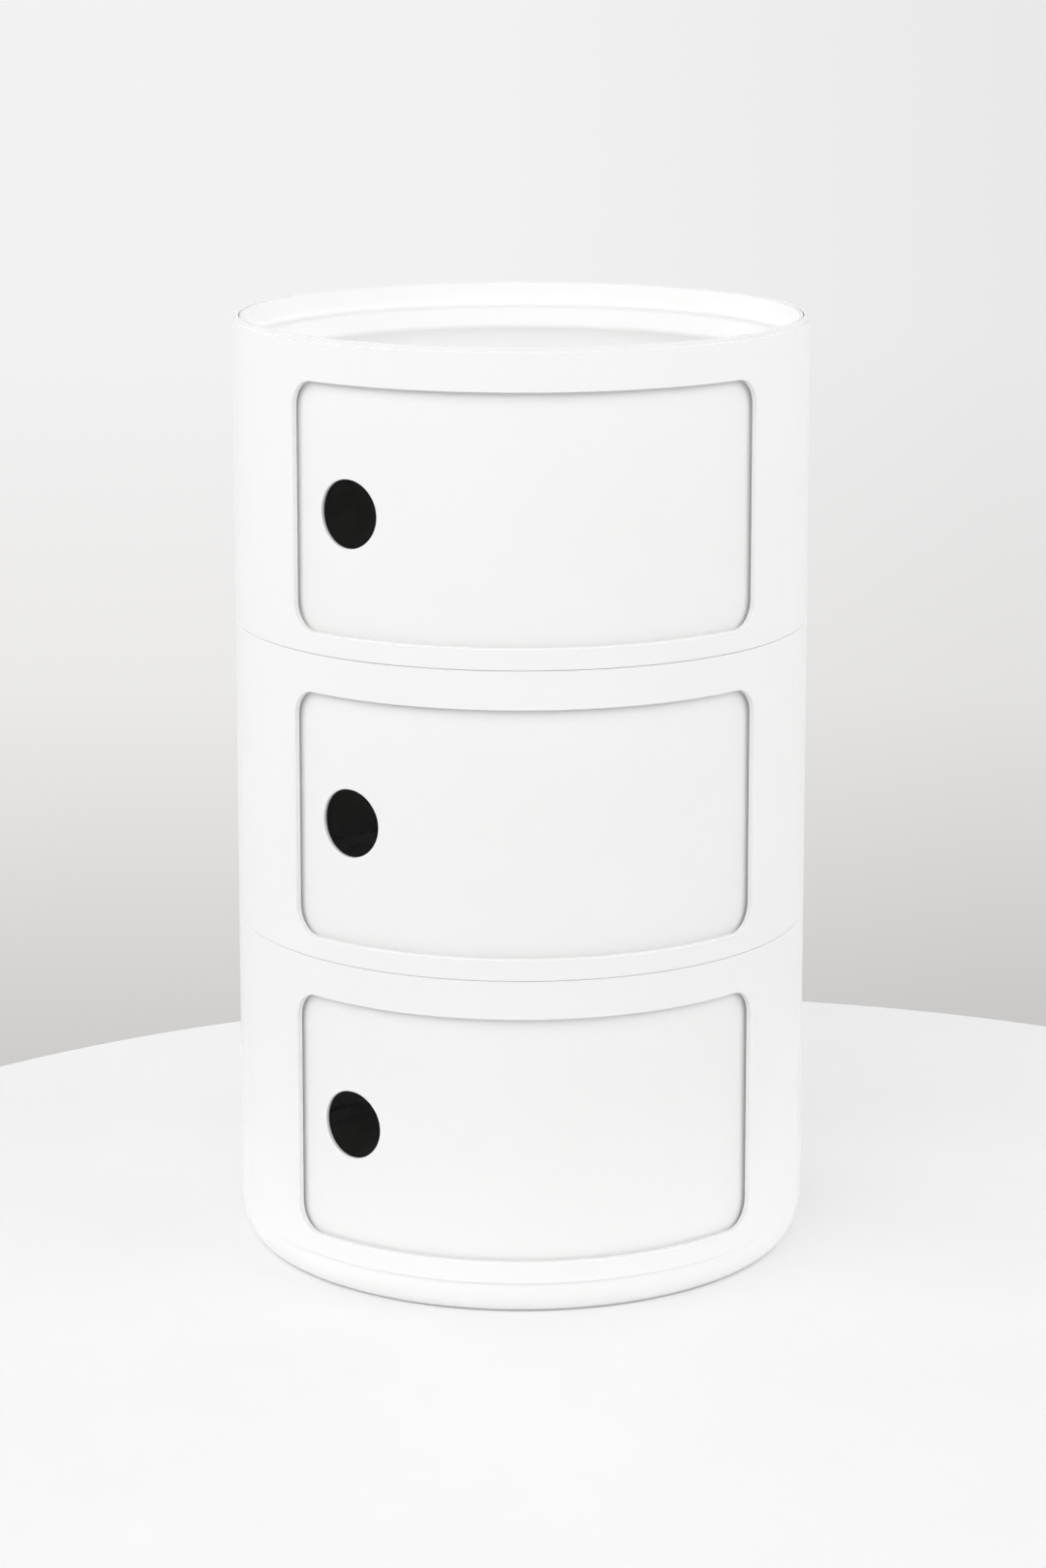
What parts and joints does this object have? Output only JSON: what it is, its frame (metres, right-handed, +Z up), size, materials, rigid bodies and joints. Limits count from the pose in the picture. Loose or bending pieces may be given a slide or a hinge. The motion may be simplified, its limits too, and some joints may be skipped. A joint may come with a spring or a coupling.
{
  "type": "round storage unit",
  "caption": "Cylindrical stacking storage unit in white moulded plastic, with curved doors that slide round inside the wall on finger holes, and a shallow drop-in tray on top.",
  "frame": {"origin": "on the floor, on the upright axis of the unit", "axes": "+Z up along the axis of the cylinder, doors facing -Y, +X to the right as seen from the front"},
  "size_m": [0.34, 0.34, 0.5555],
  "materials": {
    "shell": "smooth moulded, semi-gloss white",
    "door": "smooth moulded, semi-gloss white",
    "deck": "smooth moulded, satin white",
    "tray": "smooth moulded, satin white"
  },
  "bodies": {
    "carcass": {"base_ring": "shell", "lower_wall": "shell", "middle_wall": "shell", "upper_wall": "shell", "lower_deck": "deck", "middle_deck": "deck", "upper_deck": "deck"},
    "lower_door": {"lower_door": "door"},
    "middle_door": {"middle_door": "door"},
    "upper_door": {"upper_door": "door"},
    "top_tray": {"top_tray": "tray"}
  },
  "joints": [
    {"name": "lower_door_slide", "type": "hinge", "parent": "carcass", "child": "lower_door", "pos_m": [0, 0, 0.103], "axis": [0, 0, 1], "range_deg": [0, 78]},
    {"name": "middle_door_slide", "type": "hinge", "parent": "carcass", "child": "middle_door", "pos_m": [0, 0, 0.281], "axis": [0, 0, 1], "range_deg": [0, 78]},
    {"name": "upper_door_slide", "type": "hinge", "parent": "carcass", "child": "upper_door", "pos_m": [0, 0, 0.458], "axis": [0, 0, 1], "range_deg": [0, 78]},
    {"name": "tray_lift", "type": "slide", "parent": "carcass", "child": "top_tray", "axis": [0, 0, 1], "range_m": [0, 0.06]}
  ]
}
